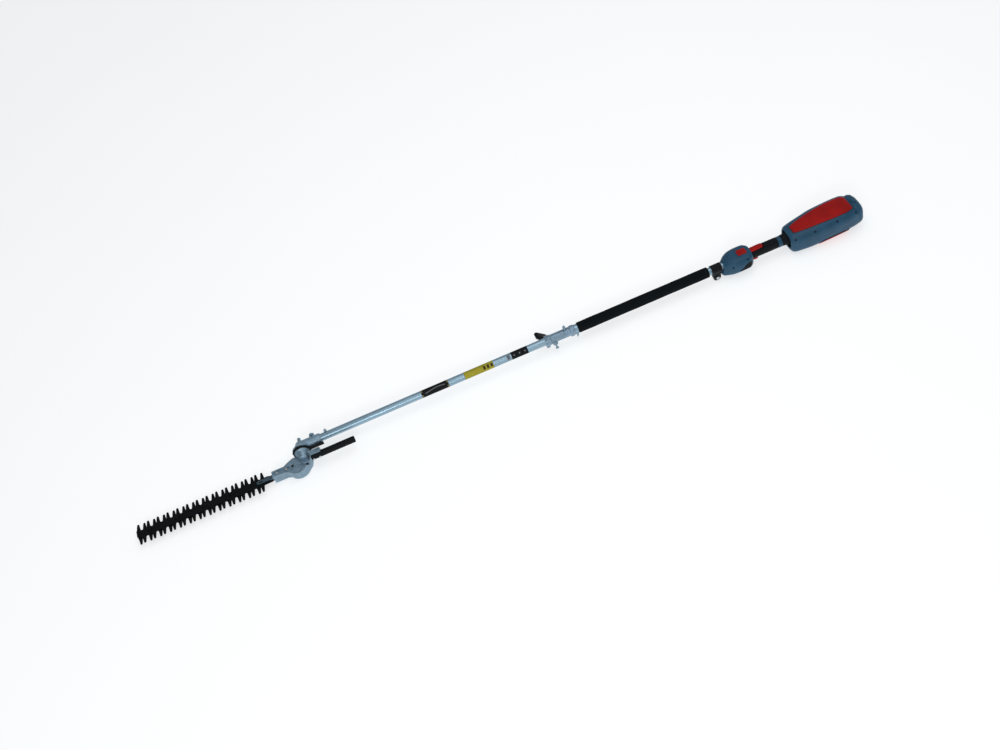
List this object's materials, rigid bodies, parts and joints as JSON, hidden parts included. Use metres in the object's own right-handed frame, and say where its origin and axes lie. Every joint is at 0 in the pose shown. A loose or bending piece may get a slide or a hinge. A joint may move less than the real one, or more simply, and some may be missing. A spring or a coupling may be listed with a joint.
{
  "type": "pole hedge trimmer",
  "caption": "Battery pole hedge trimmer: ribbed rear housing with battery, trigger handle, foam grip, two-piece pole with coupler, and a folding head with reciprocating toothed blades.",
  "frame": {"origin": "centre of the flat pad on the battery's end, on the pole's axis", "axes": "+X along the pole towards the blade tip, +Z to the lock lever's side, +Y to the side that the gear case and blades sit on"},
  "size_m": [2.6367, 0.156, 0.1013],
  "materials": {
    "blue_housing": "moulded, fine texture",
    "red_trim": "moulded, satin",
    "black_rubber": "soft-touch, matt",
    "black_plastic": "moulded, matt",
    "foam": "closed-cell foam, matt",
    "bare_tube": "extruded, satin",
    "cast_aluminium": "die cast, matt",
    "steel": "turned",
    "bright_steel": "zinc plated",
    "blade_steel": "blackened, ground edges",
    "black_metal": "black coating",
    "copper_winding": "enamelled windings",
    "green_board": "circuit board"
  },
  "bodies": {
    "pole_unit": {"rear_shell_left": "blue_housing", "rear_shell_right": "blue_housing", "rear_top_insert": "red_trim", "rear_bottom_insert": "red_trim", "motor_stator": "copper_winding", "controller_board": "green_board", "neck_boot": "black_rubber", "grip_band": "blue_housing", "handle_grip": "black_rubber", "lock_lever_pin": "steel", "trigger_pin": "steel", "trigger_switch": "black_plastic", "control_shell_left": "blue_housing", "control_shell_right": "blue_housing", "button_bezel": "blue_housing", "upper_tube": "bare_tube", "lower_tube": "bare_tube", "shaft_bush": "black_plastic", "foam_grip": "foam", "tube_screw": "cast_aluminium", "hanger_clamp": "black_metal", "hanger_bolt": "bright_steel", "coupler_body": "cast_aluminium", "coupler_screw": "steel", "tab_ring": "bare_tube", "clamp_case": "cast_aluminium", "pinch_bolt": "cast_aluminium", "pivot_bolt": "cast_aluminium", "index_plate": "black_metal"},
    "battery": {"battery_pack": "blue_housing"},
    "battery_latch": {"battery_latch": "blue_housing"},
    "drive_line": {"motor_rotor": "steel", "upper_drive_shaft": "steel", "lower_drive_shaft": "steel"},
    "cross_shaft": {"cross_shaft": "steel"},
    "lay_gear": {"lay_gear": "steel"},
    "crank": {"crank_gear": "steel"},
    "head": {"gearcase_upper": "cast_aluminium", "gearcase_lower": "cast_aluminium", "neck_bearing": "bright_steel", "bar_bolt_1": "bright_steel", "bar_bolt_2": "bright_steel", "grease_plug": "black_plastic", "lever_bracket": "cast_aluminium", "lever_tube": "black_plastic", "lever_bolt_1": "bright_steel", "lever_bolt_2": "bright_steel", "guide_bar": "steel", "support_bar": "blade_steel", "blade_bolt_1": "blade_steel", "blade_bolt_2": "blade_steel", "blade_bolt_3": "blade_steel", "blade_bolt_4": "blade_steel"},
    "blade_upper": {"blade_upper": "blade_steel"},
    "blade_lower": {"blade_lower": "blade_steel"},
    "trigger": {"trigger": "red_trim"},
    "lock_lever": {"lock_lever": "red_trim"},
    "power_button": {"power_button": "red_trim"},
    "coupler_knob": {"coupler_knob": "black_plastic"},
    "locating_pin": {"locating_pin": "cast_aluminium"}
  },
  "joints": [
    {"name": "drive_spin", "type": "hinge", "parent": "pole_unit", "child": "drive_line", "pos_m": [0.2, 0, 0], "axis": [1, 0, 0], "continuous": true},
    {"name": "cross_spin", "type": "hinge", "parent": "head", "child": "cross_shaft", "pos_m": [2.03, 0.03, 0], "axis": [0, 1, 0], "continuous": true},
    {"name": "lay_spin", "type": "hinge", "parent": "head", "child": "lay_gear", "pos_m": [2.03, 0.058, -0.01], "axis": [0, 0, 1], "continuous": true},
    {"name": "crank_spin", "type": "hinge", "parent": "head", "child": "crank", "pos_m": [2.058, 0.058, -0.016], "axis": [0, 0, 1], "continuous": true},
    {"name": "head_fold", "type": "hinge", "parent": "pole_unit", "child": "head", "pos_m": [2.03, 0.025, 0], "axis": [0, 1, 0], "range_deg": [-45, 90]},
    {"name": "blade_upper_slide", "type": "slide", "parent": "head", "child": "blade_upper", "axis": [1, 0, 0], "range_m": [-0.007, 0.004]},
    {"name": "blade_lower_slide", "type": "slide", "parent": "head", "child": "blade_lower", "axis": [1, 0, 0], "range_m": [-0.004, 0.007]},
    {"name": "trigger_pull", "type": "hinge", "parent": "pole_unit", "child": "trigger", "pos_m": [0.414, 0, -0.02], "axis": [0, 1, 0], "range_deg": [0, 7], "stiffness_Nm_per_rad": 0.3, "springref_deg": -8.59},
    {"name": "lock_lever_press", "type": "hinge", "parent": "pole_unit", "child": "lock_lever", "pos_m": [0.403, 0, 0.018], "axis": [0, 1, 0], "range_deg": [-4.5, 0], "stiffness_Nm_per_rad": 0.3, "springref_deg": 8.59},
    {"name": "power_button_press", "type": "slide", "parent": "pole_unit", "child": "power_button", "axis": [0, 0, -1], "range_m": [0, 0.0015], "stiffness_N_per_m": 500, "springref_m": -0.002},
    {"name": "battery_slide", "type": "slide", "parent": "pole_unit", "child": "battery", "axis": [-1, 0, 0], "range_m": [0, 0.13]},
    {"name": "battery_latch_press", "type": "slide", "parent": "battery", "child": "battery_latch", "axis": [0, 0, -1], "range_m": [0, 0.0025], "stiffness_N_per_m": 500, "springref_m": -0.002},
    {"name": "coupler_knob_turn", "type": "hinge", "parent": "pole_unit", "child": "coupler_knob", "pos_m": [1.139, -0.03, -0.0205], "axis": [0, 1, 0], "continuous": true},
    {"name": "locating_pin_pull", "type": "slide", "parent": "pole_unit", "child": "locating_pin", "axis": [0, 0, 1], "range_m": [0, 0.006], "stiffness_N_per_m": 300, "springref_m": -0.003}
  ],
  "couplings": [
    {"joint": "cross_spin", "follows": "drive_spin", "ratio": 1},
    {"joint": "lay_spin", "follows": "drive_spin", "ratio": -1},
    {"joint": "crank_spin", "follows": "drive_spin", "ratio": 0.33333},
    {"joint": "blade_lower_slide", "follows": "blade_upper_slide", "ratio": -1}
  ]
}
